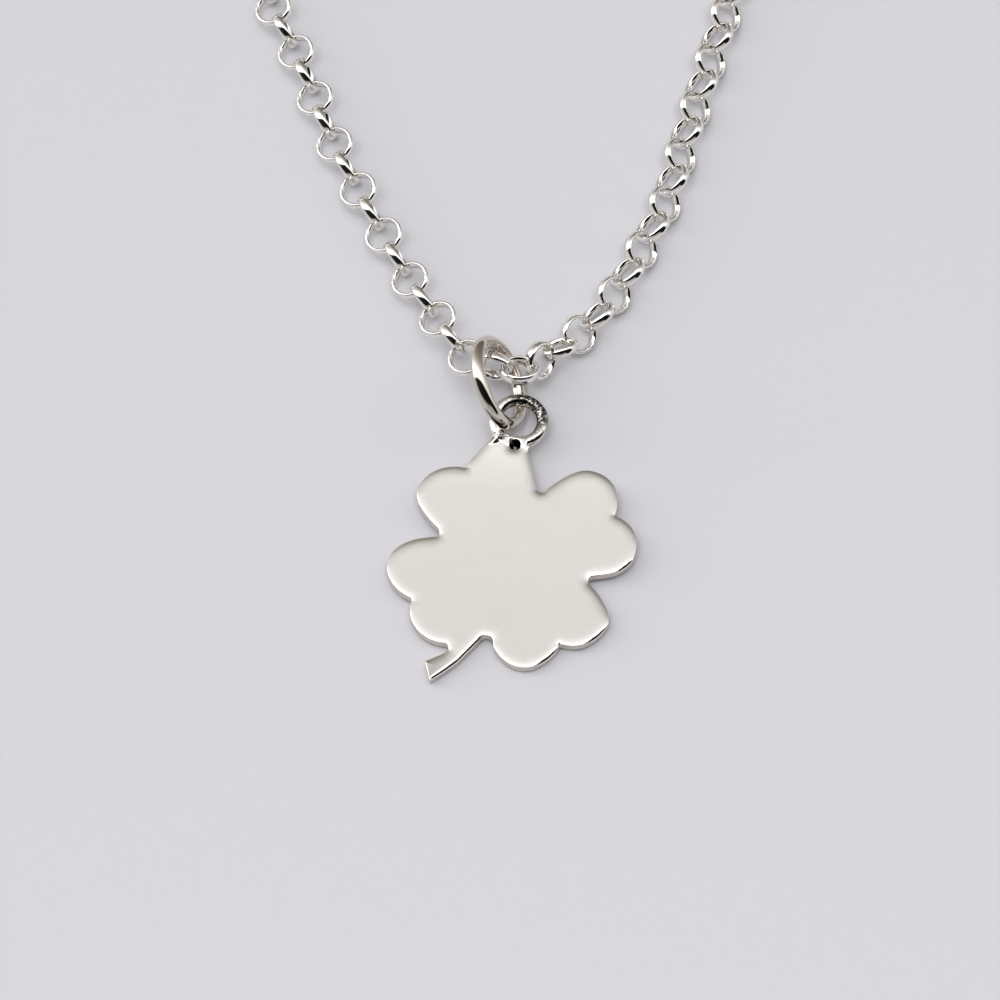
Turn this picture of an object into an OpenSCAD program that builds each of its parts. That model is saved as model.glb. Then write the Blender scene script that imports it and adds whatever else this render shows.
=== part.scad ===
// Four leaf clover pendant on a round link chain, lying flat as it was set down.

/* [Clover plate] */
// Thickness of the clover's plate
clover_thickness = 0.75; // [0.6:0.05:0.85]
// Distance from the clover's middle to the middle of each lobe
lobe_reach = 6.65; // [6.3:0.05:7]
// Radius of each round lobe
lobe_radius = 2.75; // [2.5:0.05:2.8]
// Angle between the two lobes of one heart shaped leaf
leaf_spread = 34; // [31:1:36]
// Distance from the middle to the bottom of the deep notch between two leaves
notch_reach = 6.1; // [5.6:0.1:6.2]
// Radius at the bottom of the deep notch
notch_radius = 0.42; // [0.3:0.02:0.5]
// Turn of the four leaves in the plate's own plane
clover_turn = 24.8; // [20:0.2:30]
// Lean of the plate, which the jump ring lifts at its top end
clover_lean = 3.2; // [3:0.1:4]

/* [Stem] */
// Length of the stem along its lower side, from the notch to its tip
stem_length = 6.2; // [5:0.1:7]
// Width of the stem where it leaves the lobes
stem_root_width = 0.8; // [0.7:0.05:1.2]
// Width of the stem across its slanted end
stem_end_width = 1.67; // [1.3:0.05:2]

/* [Hanging loop] */
// Inner diameter of the round loop at the top of the clover
loop_inner_diameter = 2.74; // [2.6:0.02:3]
// Thickness of the loop's wire
loop_wire = 0.92; // [0.8:0.02:1]
// Distance from the top lobe's middle to the middle of the loop
loop_reach = 5.14; // [5.1:0.02:5.18]
// Diameter of the small hole in the neck under the loop
neck_hole_diameter = 0.88; // [0.7:0.02:1]
// Metal left between the loop and the small hole
neck_hole_rim = 0.3; // [0.2:0.05:0.4]

/* [Jump ring] */
// Outer diameter of the jump ring
ring_diameter = 7.55; // [7.5:0.05:7.7]
// Thickness of the jump ring's wire
ring_wire = 0.95; // [0.8:0.05:1]
// Lean of the jump ring's axis from upright
ring_lean = 61; // [60.6:0.2:61.4]
// Compass turn of that lean
ring_turn = 1.4; // [0.8:0.2:2]

/* [Chain] */
// Length of the whole necklace along its middle line, with the clasp
necklace_length = 457; // [400:1:600]
// Outer diameter of a round link
link_diameter = 3.1; // [3:0.05:3.2]
// Thickness of a link's wall at the middle of its width
link_wall = 0.29; // [0.26:0.01:0.33]
// Width of a link along its own axis
link_width = 0.9; // [0.7:0.05:0.95]
// Rise of the rounded outer face over a link's width
link_crown = 0.12; // [0.08:0.01:0.14]
// Rise of the rounded inner face over a link's width
link_inner_crown = 0.1; // [0.08:0.01:0.12]
// Play between two links pulled taut
link_play = 0.14; // [0.13:0.01:0.2]
// Length lost where the lowest links lie slack, on each side of the jump ring
slack_length = 1.05; // [0.6:0.05:1.2]
// Number of links on each side over which the slack fades out
slack_links = 5; // [4:1:8]

/* [Clasp] */
// Outer diameter of the plain clasp ring
clasp_diameter = 6.4; // [6:0.1:8]
// Thickness of the clasp ring's wire
clasp_wire = 1.2; // [1:0.05:1.3]
// Shift of the clasp along the chain from the far end of the necklace
clasp_shift = -0.25; // [-1:0.05:1]

/* [Hidden] */
silver = [0.86, 0.85, 0.83];
$fn = 64;

// Middle of the clover's plate and the resting chain's chosen points, before the origin is centred.
// Each chain point is [across, away, lift over its resting height, roll of the odd links].
clover_place = [1.03, -5.7];
chain_points = [
    [-18.4, 45.8, 0, -20], [-16.2, 40.6, 0, -20], [-13, 31.7, 0, -20], [-9, 23, 0, -20],
    [-7, 19, 0, -20], [-4.55, 14.5, 0.65, -19], [-3.4, 12.55, 0.9, -23], [-2.1, 10.6, 1.2, -13],
    [0.3, 9.95, 1.5, 7], [1.15, 9.5, 1.7, 21], [3.4, 11.1, 1, 28], [4.9, 12.8, 0.25, 42],
    [6.2, 14.1, 0, 48], [8.9, 17.8, 0, 44], [11, 21.9, 0, 44], [12.9, 26.3, 0, 44],
    [14.2, 31, 0, 44], [16.8, 40.3, 0, 44], [18.4, 45.8, 0, 44]
];
// Heading of both strands from straight away, where the hidden stretch takes over
strand_heading = 16.4;
// Roll of the odd links at each end of the chain, where the clasp ring lies through them
roll_at_clasp = [0, 90];
// Side of the end links' holes on which the clasp's wire rests, under their middle
clasp_rest_angle = 60;
// Places of the jump ring's middle from the loop's, in shares of the jump ring's radius
ring_offset = [-0.45, 0.74];

// Clover
leaf_angles = [for (k = [0 : 3]) clover_turn + 90 * k];
top_lobe_angle = clover_turn + 90 - leaf_spread / 2;
top_lobe = lobe_reach * [cos(top_lobe_angle), sin(top_lobe_angle)];
loop_radius = (loop_inner_diameter + loop_wire) / 2;
loop_angle = 75.5;
loop_middle = top_lobe + loop_reach * [cos(loop_angle), sin(loop_angle)];
neck_sink = 0.08;
neck_hole_reach = loop_inner_diameter / 2 + neck_hole_rim + neck_hole_diameter / 2;
neck_hole = loop_middle + neck_hole_reach * [cos(loop_angle + 187), sin(loop_angle + 187)];

// Stem, which leaves the notch between the two lower leaves
stem_angle = 225.8;
stem_notch = notch_reach * [cos(clover_turn + 225), sin(clover_turn + 225)];
stem_lower_root = stem_notch + notch_radius * [0.36, -0.52];
stem_tip = stem_lower_root + stem_length * [cos(stem_angle), sin(stem_angle)];
stem_corner = stem_tip + stem_end_width * [cos(103), sin(103)];
stem_upper_root = stem_lower_root + stem_length * 0.535 * [cos(stem_angle), sin(stem_angle)]
    + stem_root_width * [cos(stem_angle - 90), sin(stem_angle - 90)];

// Heights of the leaning plate
plate_sink = stem_tip[1] * sin(clover_lean);
loop_place = [
    clover_place[0] + loop_middle[0],
    clover_place[1] + loop_middle[1] * cos(clover_lean)
];

// Jump ring
ring_radius = (ring_diameter - ring_wire) / 2;
ring_place = loop_place + ring_radius * ring_offset;
ring_height = ring_radius * sin(ring_lean) + ring_wire / 2;

// Links
link_radius = link_diameter / 2;
link_inner_radius = link_radius - link_wall;
link_pitch = 2 * link_inner_radius - link_play;
crown_facets = 4;
clasp_radius = (clasp_diameter - clasp_wire) / 2;
clasp_hang = link_inner_radius - clasp_wire / 2 - link_play;
clasp_span = 2 * (clasp_radius + clasp_hang * cos(clasp_rest_angle));
link_count = 2 * round((necklace_length - clasp_span + link_pitch) / (2 * link_pitch));
middle_link = (link_count - 1) / 2;
function slack_before(i) =
    let (share = (i - middle_link) / slack_links)
    slack_length * share / sqrt(1 + pow(share, 2));
loop_length = (link_count - 1) * link_pitch + clasp_span - 2 * slack_before(link_count - 1);

// Smooth curve through the chosen points
last_point = len(chain_points) - 1;
curve_steps = 12;
function place_of(p) = [p[0], p[1], p[2]];
function gap_after(i) = norm(place_of(chain_points[i + 1]) - place_of(chain_points[i]));
function slope_after(i) = (place_of(chain_points[i + 1]) - place_of(chain_points[i])) / gap_after(i);
function slope_at(i) =
    i == 0 ? [sin(strand_heading), -cos(strand_heading), 0]
    : i == last_point ? [sin(strand_heading), cos(strand_heading), 0]
    : (slope_after(i) * gap_after(i - 1) + slope_after(i - 1) * gap_after(i)) / (gap_after(i) + gap_after(i - 1));
function curve_place(i, u) =
    (2 * pow(u, 3) - 3 * pow(u, 2) + 1) * place_of(chain_points[i])
    + (pow(u, 3) - 2 * pow(u, 2) + u) * gap_after(i) * slope_at(i)
    + (3 * pow(u, 2) - 2 * pow(u, 3)) * place_of(chain_points[i + 1])
    + (pow(u, 3) - pow(u, 2)) * gap_after(i) * slope_at(i + 1);
function curve_roll(i, u) = chain_points[i][3] * (1 - u) + chain_points[i + 1][3] * u;
seen_run = [
    for (i = [0 : last_point - 1])
        for (k = [0 : curve_steps - (i == last_point - 1 ? 0 : 1)])
            concat(curve_place(i, k / curve_steps), [curve_roll(i, k / curve_steps)])
];
function run_length(run, i = 0, total = 0) =
    i >= len(run) - 1 ? total
    : run_length(run, i + 1, total + norm(place_of(run[i + 1]) - place_of(run[i])));

// Hidden stretch: a straight run and a round bend on each side, as long as the rest of the necklace
run_end = chain_points[last_point];
hidden_half = (loop_length - run_length(seen_run)) / 2;
bend_radius = (hidden_half + run_end[0] / sin(strand_heading))
    / (cos(strand_heading) / sin(strand_heading) + (90 + strand_heading) * PI / 180);
straight_run = (bend_radius * cos(strand_heading) - run_end[0]) / sin(strand_heading);
bend_start = [
    run_end[0] + straight_run * sin(strand_heading),
    run_end[1] + straight_run * cos(strand_heading)
];
bend_middle = bend_start[1] + bend_radius * sin(strand_heading);
bend_steps = 90;
function side_roll(side, share) = roll_at_clasp[side] * (1 - share) + (side == 0 ? chain_points[0][3] : run_end[3]) * share;
function bend_point(side, k) =
    let (turn = 90 + (90 + strand_heading) * k / bend_steps,
         share = k / bend_steps * 0.5)
    [(side == 0 ? 1 : -1) * bend_radius * cos(turn), bend_middle + bend_radius * sin(turn), 0, side_roll(side, share)];
left_bend = [for (k = [0 : bend_steps]) bend_point(0, k)];
right_bend = [for (k = [bend_steps : -1 : 0]) bend_point(1, k)];
route = concat(left_bend, seen_run, right_bend);
route_runs = [
    for (i = 0, s = 0; i < len(route);
         s = s + (i < len(route) - 1 ? norm(place_of(route[i + 1]) - place_of(route[i])) : 0), i = i + 1) s
];
function column(c) = [for (i = [0 : len(route) - 1]) [route_runs[i], route[i][c]]];
across_by_run = column(0);
away_by_run = column(1);
lift_by_run = column(2);
roll_by_run = column(3);
route_length = route_runs[len(route_runs) - 1];
function on_loop(s) = s - route_length * floor(s / route_length);
function half_height(roll) = link_radius * abs(sin(roll)) + link_width / 2 * abs(cos(roll));
function roll_at(s) = lookup(on_loop(s), roll_by_run);
function rest_height(s) = max(half_height(roll_at(s)), half_height(roll_at(s) + 90));
function flat_place(s) = [lookup(on_loop(s), across_by_run), lookup(on_loop(s), away_by_run)];
function chain_place(s) =
    concat(flat_place(s), [rest_height(s) + lookup(on_loop(s), lift_by_run)]);
function chain_heading(s) =
    let (step = chain_place(s + link_pitch / 2) - chain_place(s - link_pitch / 2))
    [atan2(step[1], step[0]), atan2(step[2], norm([step[0], step[1]]))];
function link_run(i) = clasp_shift + route_length / 2 + (i - middle_link) * link_pitch - slack_before(i);

// Clasp at the far end, held inside the upright end links
clasp_place = flat_place(clasp_shift);
clasp_height = link_radius - clasp_hang * sin(clasp_rest_angle);

// The origin is under the middle of the whole
front_edge = clover_place[1] + stem_tip[1] * cos(clover_lean);
back_edge = bend_middle + bend_radius + clasp_radius + clasp_wire / 2;
origin_shift = [0, -(front_edge + back_edge) / 2, 0];

module leaves_outline() {
    difference() {
        union() {
            circle(r = notch_reach + notch_radius);
            for (angle = leaf_angles)
                for (side = [-0.5, 0.5])
                    rotate(angle + side * leaf_spread) translate([lobe_reach, 0]) circle(r = lobe_radius);
        }
        for (angle = leaf_angles)
            rotate(angle + 45) translate([notch_reach + notch_radius, 0]) circle(r = notch_radius);
    }
}

module stem_outline() {
    polygon([stem_lower_root, stem_tip, stem_corner, stem_upper_root, [0, 0]]);
}

function rim_point(middle, radius, angle) = middle + radius * [cos(angle), sin(angle)];

// The top lobe flares into the loop on both sides. The neck's corners are sunk into the lobe and the wire.
module neck_outline() {
    in_lobe = lobe_radius - neck_sink;
    in_loop = loop_radius + loop_wire / 2 - neck_sink;
    difference() {
        polygon([
            rim_point(top_lobe, in_lobe, 145),
            rim_point(loop_middle, in_loop, 216),
            loop_middle,
            rim_point(loop_middle, in_loop, 292),
            rim_point(top_lobe, in_lobe, 46)
        ]);
        translate(loop_middle) circle(r = loop_radius);
    }
}

module clover_plate() {
    linear_extrude(clover_thickness) {
        union() {
            leaves_outline();
            stem_outline();
            neck_outline();
        }
    }
}

module hanging_loop() {
    translate([loop_middle[0], loop_middle[1], clover_thickness / 2])
        rotate_extrude() translate([loop_radius, 0]) circle(d = loop_wire);
}

module neck_hole() {
    translate([neck_hole[0], neck_hole[1], -clover_thickness])
        cylinder(d = neck_hole_diameter, h = 3 * clover_thickness);
}

module clover() {
    color(silver)
        translate(origin_shift) translate([clover_place[0], clover_place[1], -plate_sink])
            rotate([clover_lean, 0, 0])
                difference() {
                    union() {
                        clover_plate();
                        hanging_loop();
                    }
                    neck_hole();
                }
}

module jump_ring() {
    color(silver)
        translate(origin_shift) translate([ring_place[0], ring_place[1], ring_height])
            rotate([0, ring_lean, ring_turn])
                rotate_extrude() translate([ring_radius, 0]) circle(d = ring_wire);
}

// A band whose outer and inner faces are rounded over its width, each in a few flat facets
module link_section() {
    shares = [for (k = [0 : crown_facets]) 2 * k / crown_facets - 1];
    outer_face = [for (share = shares) [link_radius - link_crown * pow(share, 2), share * link_width / 2]];
    inner_face = [for (share = shares) [link_inner_radius + link_inner_crown * pow(share, 2), -share * link_width / 2]];
    polygon(concat(outer_face, inner_face));
}

module link() {
    rotate_extrude() link_section();
}

module placed_link(i) {
    s = link_run(i);
    heading = chain_heading(s);
    roll = roll_at(s) + (i % 2 == 0 ? 90 : 0);
    translate(chain_place(s)) rotate([0, -heading[1], heading[0]]) rotate([-roll, 0, 0]) link();
}

module chain_left() {
    color(silver) translate(origin_shift)
        for (i = [0 : link_count / 2 - 1]) placed_link(i);
}

module chain_right() {
    color(silver) translate(origin_shift)
        for (i = [link_count / 2 : link_count - 1]) placed_link(i);
}

module clasp() {
    color(silver) translate(origin_shift) translate([clasp_place[0], clasp_place[1], clasp_height])
        rotate_extrude() translate([clasp_radius, 0]) circle(d = clasp_wire);
}

clover();
jump_ring();
chain_left();
chain_right();
clasp();
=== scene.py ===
"""Four leaf clover pendant on a round link chain, lying flat on a pale surface.

The clover, its jump ring, the chain and the clasp are surfaces worked out with numpy. Each replaces the
solid of the same name and keeps its form and its place. Lengths in the classes are in millimetres, in the
plan of the part's source, and go to metres and to the model's frame when a mesh is made.
"""
import logging
import math
from dataclasses import dataclass
from enum import Enum

import bpy
import numpy as np
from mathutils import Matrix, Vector
from mathutils.geometry import delaunay_2d_cdt


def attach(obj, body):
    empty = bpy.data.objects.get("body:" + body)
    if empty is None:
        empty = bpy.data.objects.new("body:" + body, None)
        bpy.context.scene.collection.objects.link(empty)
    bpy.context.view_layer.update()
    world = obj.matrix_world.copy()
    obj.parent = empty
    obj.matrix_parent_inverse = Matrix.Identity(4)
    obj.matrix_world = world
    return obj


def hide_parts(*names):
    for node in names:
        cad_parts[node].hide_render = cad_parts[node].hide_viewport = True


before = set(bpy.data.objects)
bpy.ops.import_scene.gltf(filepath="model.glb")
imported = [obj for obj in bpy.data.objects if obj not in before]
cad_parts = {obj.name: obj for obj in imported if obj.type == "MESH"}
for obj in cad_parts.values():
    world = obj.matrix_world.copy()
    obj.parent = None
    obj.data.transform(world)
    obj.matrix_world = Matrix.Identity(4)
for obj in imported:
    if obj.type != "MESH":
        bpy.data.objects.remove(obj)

log = logging.getLogger("clover_pendant")

MM = 0.001
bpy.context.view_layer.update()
# The model's origin is under the middle of the whole, this far beyond the middle of the picture.
PLAN_SHIFT = np.array([0.0, -93.2065, 0.0])
# Points that are held against every place on the rims at once, to spare memory.
BLOCK = 800
# Stands in for a length of zero that would divide.
TINY = 1e-9

Array = np.ndarray
Pair = tuple[float, float]
Triple = tuple[float, float, float]
Tree = bpy.types.NodeTree
Socket = bpy.types.NodeSocket


class Piece(Enum):
    """The pieces of the necklace, by the names of the solids that they stand for."""

    CLOVER = "clover"
    JUMP_RING = "jump_ring"
    CHAIN_LEFT = "chain_left"
    CHAIN_RIGHT = "chain_right"
    CLASP = "clasp"


class Slot(Enum):
    """The record's material slots."""

    CHARM = "charm_silver"
    RING = "ring_silver"
    CHAIN = "chain_silver"


def linear(hex_colour: str) -> tuple[float, float, float, float]:
    """Turns a colour from sRGB to the linear one that a shader takes.

    Args:
        hex_colour: its six hex digits.

    Returns:
        Red, green, blue and an alpha of 1.
    """
    channels = np.array([int(hex_colour[i : i + 2], 16) / 255 for i in (0, 2, 4)])
    low = channels / 12.92
    high = ((channels + 0.055) / 1.055) ** 2.4
    red, green, blue = np.where(channels <= 0.04045, low, high)
    return (float(red), float(green), float(blue), 1.0)


def direction(degrees: Array) -> Array:
    """Unit vectors in the plan at angles counter clockwise from x."""
    turn = np.radians(degrees)
    return np.stack([np.cos(turn), np.sin(turn)], axis=-1)


def turn_matrix(axis: int, degrees: Array) -> Array:
    """Right handed turns about x, y or z.

    Args:
        axis: 0, 1 or 2 for x, y or z.
        degrees: an angle or an array of angles.

    Returns:
        Matrices with the shape of degrees and 3 x 3.
    """
    turn = np.radians(np.asarray(degrees, dtype=float))
    first, second = (axis + 1) % 3, (axis + 2) % 3
    matrix = np.zeros(turn.shape + (3, 3))
    matrix[..., axis, axis] = 1
    matrix[..., first, first] = matrix[..., second, second] = np.cos(turn)
    matrix[..., first, second] = -np.sin(turn)
    matrix[..., second, first] = np.sin(turn)
    return matrix


def carried_round(reach: Array, height: Array, rows: int) -> tuple[Array, Array]:
    """Carries a closed profile round the plan's upright axis, as quads that face outwards.

    The place at turn a for a point of the profile is its reach from the axis, at turn a, and its height.
    The profile goes up on its far side and down on its near side.

    Args:
        reach: distances of the profile's points from the axis.
        height: their heights.
        rows: number of places round the axis.

    Returns:
        The points and the faces.
    """
    turn = np.linspace(0, 2 * np.pi, rows, endpoint=False)[:, None]
    points = np.stack([reach * np.cos(turn), reach * np.sin(turn), height + 0 * turn], axis=-1)
    grid = np.arange(rows * len(reach)).reshape(rows, -1)
    corners = [np.roll(grid, shift, axis=(0, 1)) for shift in ((0, 0), (-1, 0), (-1, -1), (0, -1))]
    return points.reshape(-1, 3), np.stack(corners, axis=-1).reshape(-1, 4)


def add_object(name: str, data: bpy.types.ID) -> bpy.types.Object:
    """Links a new object to the scene.

    Args:
        name: the object's name.
        data: its mesh, lamp or camera.

    Returns:
        The object.
    """
    made = bpy.data.objects.new(name, data)
    bpy.context.scene.collection.objects.link(made)
    return made


def make_object(piece: Piece, points: Array, faces: list[Array]) -> bpy.types.Object:
    """Puts points and faces into a smooth shaded mesh object that sits at the origin.

    Args:
        piece: names the object.
        points: places in millimetres in the plan of the part's source.
        faces: arrays of faces, each with one number of corners.

    Returns:
        The new object, linked to the scene.
    """
    mesh = bpy.data.meshes.new(piece.value + "_surface")
    places = (points + PLAN_SHIFT) * MM
    mesh.from_pydata(places.tolist(), [], [face for block in faces for face in block.tolist()])
    mesh.shade_smooth()
    mesh.validate()
    return add_object(piece.value + "_polished", mesh)


def ring_of_wire(radius: float, wire: float, rows: int, columns: int) -> tuple[Array, Array]:
    """A round ring of round wire in the plan's own plane.

    At wire angle b its reach is the radius plus half the wire times cos b, and its height half the wire
    times sin b.

    Args:
        radius: of the wire's middle line.
        wire: thickness of the wire.
        rows: points round the ring.
        columns: points round the wire.

    Returns:
        The points and the faces.
    """
    around = np.linspace(0, 2 * np.pi, columns, endpoint=False)
    return carried_round(radius + wire / 2 * np.cos(around), wire / 2 * np.sin(around), rows)


def dress(made: bpy.types.Object, piece: Piece, material: bpy.types.Material) -> None:
    """Gives a finished piece its material and tells the frame what it stands for.

    Args:
        made: the piece's object.
        piece: the solid that it replaces.
        material: its finish.
    """
    made.data.materials.append(material)
    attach(made, "root")
    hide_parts(piece.value)
    log.info("%s: %d faces", made.name, len(made.data.polygons))


def add_node(tree: Tree, kind: str, inputs: dict, output: str | int = 0, **settings: str | bool) -> Socket:
    """Adds one shader node.

    Args:
        tree: the node tree.
        kind: the node's type, after the "ShaderNode" that each of them starts with.
        inputs: a value, or an output socket to link to, by the name or the number of the input.
        output: the name or the number of the output that is asked for.
        settings: the node's own properties.

    Returns:
        That output, or None from a node that ends the tree.
    """
    node = tree.nodes.new("ShaderNode" + kind)
    for name, value in settings.items():
        setattr(node, name, value)
    for name, value in inputs.items():
        if isinstance(value, Socket):
            tree.links.new(value, node.inputs[name])
        else:
            node.inputs[name].default_value = value
    return node.outputs[output] if node.outputs else None


def falling(tree: Tree, value: Socket, start: float, end: float) -> Socket:
    """A share that is one up to a first value and falls evenly to zero at a second."""
    limits = {"From Min": start, "From Max": end, "To Min": 1.0, "To Max": 0.0}
    return add_node(tree, "MapRange", {"Value": value, **limits})


@dataclass(frozen=True)
class PolishedSilver:
    """Sterling silver, stamped or drawn and then buffed to a mirror.

    A buffed mirror shows the room in it with hardly any blur. What gives it away as metal is a faint warm
    tint, a slow waviness that bends reflections, and fine hairlines left by the buffing wheel.
    """

    name: str
    tint: str = "F6F3EF"
    worn_tint: str = "F0ECE6"
    roughness: float = 0.045
    haze: float = 0.03
    wave_mm: float = 2.4
    wave_height_mm: float = 0.0012
    hairline_mm: float = 0.16
    hairline_height_mm: float = 0.0003
    cloud_span: Pair = (0.35, 0.65)

    def material(self) -> bpy.types.Material:
        """Builds the node material.

        Returns:
            The finished material.
        """
        made = bpy.data.materials.new(self.name)
        made.use_nodes = True
        tree = made.node_tree
        tree.nodes.clear()
        place = add_node(tree, "TexCoord", {}, "Object")
        waves = {"Vector": place, "Scale": 1 / (self.wave_mm * MM), "Detail": 3.0}
        cloud = add_node(tree, "TexNoise", waves, "Fac")
        tint = self.mixed(tree, cloud, linear(self.tint), linear(self.worn_tint))
        low, high = self.cloud_span
        haze = {"From Min": low, "From Max": high, "To Min": self.roughness}
        blur = add_node(tree, "MapRange", {"Value": cloud, **haze, "To Max": self.roughness + self.haze})
        normal = self.bump(tree, cloud, self.wave_height_mm)
        hairs = {"Vector": place, "Scale": 1 / (self.hairline_mm * MM), "Detail": 2.0}
        normal = self.bump(tree, add_node(tree, "TexNoise", hairs, "Fac"), self.hairline_height_mm, normal)
        tint, blur, normal = self.marked(tree, place, tint, blur, normal)
        metal = {"Metallic": 1.0, "Base Color": tint, "Roughness": blur, "Normal": normal}
        add_node(tree, "OutputMaterial", {"Surface": add_node(tree, "BsdfPrincipled", metal)})
        return made

    def mixed(self, tree: Tree, share: Socket, first: Socket | tuple, second: tuple) -> Socket:
        """A colour that goes from a first one to a second by a share."""
        return add_node(tree, "Mix", {"Factor": share, 6: first, 7: second}, 2, data_type="RGBA")

    def bump(self, tree: Tree, height: Socket, height_mm: float, under: Socket | None = None) -> Socket:
        """A normal bent by a height, on top of another normal if there is one."""
        bent = {"Strength": 1.0, "Distance": height_mm * MM, "Height": height}
        return add_node(tree, "Bump", bent if under is None else {**bent, "Normal": under})

    def marked(
        self, tree: Tree, place: Socket, tint: Socket, blur: Socket, normal: Socket
    ) -> tuple[Socket, Socket, Socket]:
        """Marks of the piece's own on its tint, blur and normal. Plain buffed silver has none."""
        return tint, blur, normal


@dataclass(frozen=True)
class CharmSilver(PolishedSilver):
    """Buffed sterling silver of a stamped charm with a drilled hole and a soldered loop.

    The plate's sheared sides are satin, and their darker cream colour is painted shade for the dim surface
    that they mirror. The drilled hole is coloured near black as painted shade, for the shadow inside it and
    under the plate. Darker spots are put on the loop's upper right. The bent and soldered loop carries plier
    marks, small dents that break its reflections up.
    """

    hole: Triple = (0.0, 0.0, 0.0)
    loop: Triple = (0.0, 0.0, 0.0)
    hole_shade_mm: float = 0.43
    loop_mm: float = 2.35
    # Colour of the sheared sides: satin silver, darkened as painted shade for the dim surface that they
    # mirror.
    side_shaded_tint: str = "DBD1C9"
    side_blur: float = 0.32
    side_facing: Pair = (0.2, 0.55)
    edge_fade: float = 0.06
    # Near black painted into the drilled hole as painted shade, for the shadow inside it and under the
    # plate.
    black: str = "1E1C22"
    mark_mm: float = 0.2
    mark_height_mm: float = 0.018
    loop_dark_spots: str = "46423F"
    loop_dark_spots_offset: Pair = (1.0, 0.9)
    loop_dark_spots_mm: float = 2.7
    loop_dark_spots_fade: float = 0.5
    loop_dark_spots_span: Pair = (0.33, 0.5)

    def near(self, tree: Tree, place: Socket, middle: Triple, reach_mm: float, fade: float) -> Socket:
        """A share that is one near an upright line and falls to zero at a level distance from it.

        Args:
            tree: the node tree.
            place: places on the piece.
            middle: where the line stands.
            reach_mm: the distance.
            fade: part of the distance over which it falls.

        Returns:
            The share.
        """
        away = add_node(tree, "VectorMath", {0: place, 1: middle}, operation="SUBTRACT")
        level = add_node(tree, "VectorMath", {0: away, 1: (1.0, 1.0, 0.0)}, operation="MULTIPLY")
        reach = add_node(tree, "VectorMath", {0: level}, "Value", operation="LENGTH")
        edge = reach_mm * MM
        return falling(tree, reach, edge * (1 - fade), edge)

    def marked(
        self, tree: Tree, place: Socket, tint: Socket, blur: Socket, normal: Socket
    ) -> tuple[Socket, Socket, Socket]:
        """Adds the satin sides' and the hole's painted shade, the loop's dark spots and its plier marks.

        Args:
            tree: the node tree.
            place: places on the piece.
            tint: the metal's colour so far.
            blur: its roughness so far.
            normal: its normal so far.

        Returns:
            The new colour, roughness and normal.
        """
        facing = add_node(tree, "SeparateXYZ", {0: add_node(tree, "NewGeometry", {}, "Normal")}, "Z")
        upright = add_node(tree, "Math", {0: facing}, operation="ABSOLUTE")
        side = falling(tree, upright, *self.side_facing)
        wire = self.near(tree, place, self.loop, self.loop_mm, self.edge_fade)
        side = add_node(tree, "Math", {0: side, 1: wire}, operation="SUBTRACT", use_clamp=True)
        hole = self.near(tree, place, self.hole, self.hole_shade_mm, self.edge_fade)
        # Painted shade: the sides are tinted darker for the dim surface that they mirror; their satin
        # roughness below is real.
        tint = self.mixed(tree, side, tint, linear(self.side_shaded_tint))
        # Painted shade: the drilled hole is coloured near black for the shadow inside it.
        tint = self.mixed(tree, hole, tint, linear(self.black))
        grain = {"Vector": place, "Scale": 1 / (self.mark_mm * MM)}
        spots = add_node(tree, "TexNoise", {**grain, "Detail": 4.0}, "Fac")
        low, high = self.loop_dark_spots_span
        spots = add_node(tree, "MapRange", {"Value": spots, "From Min": low, "From Max": high})
        across, up = self.loop_dark_spots_offset
        spots_middle = (self.loop[0] + across * MM, self.loop[1] + up * MM, 0.0)
        reached = self.near(tree, place, spots_middle, self.loop_dark_spots_mm, self.loop_dark_spots_fade)
        dark = add_node(tree, "Math", {0: spots, 1: reached}, operation="MULTIPLY")
        # Dark spots on the loop's upper right, put into the colour by noise.
        tint = self.mixed(tree, dark, tint, linear(self.loop_dark_spots))
        blur = add_node(tree, "Mix", {"Factor": side, "A": blur, "B": self.side_blur})
        dents = add_node(tree, "TexNoise", {**grain, "Detail": 3.0}, "Fac")
        marks = add_node(tree, "Math", {0: dents, 1: wire}, operation="MULTIPLY")
        return tint, blur, self.bump(tree, marks, self.mark_height_mm, normal)


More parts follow.
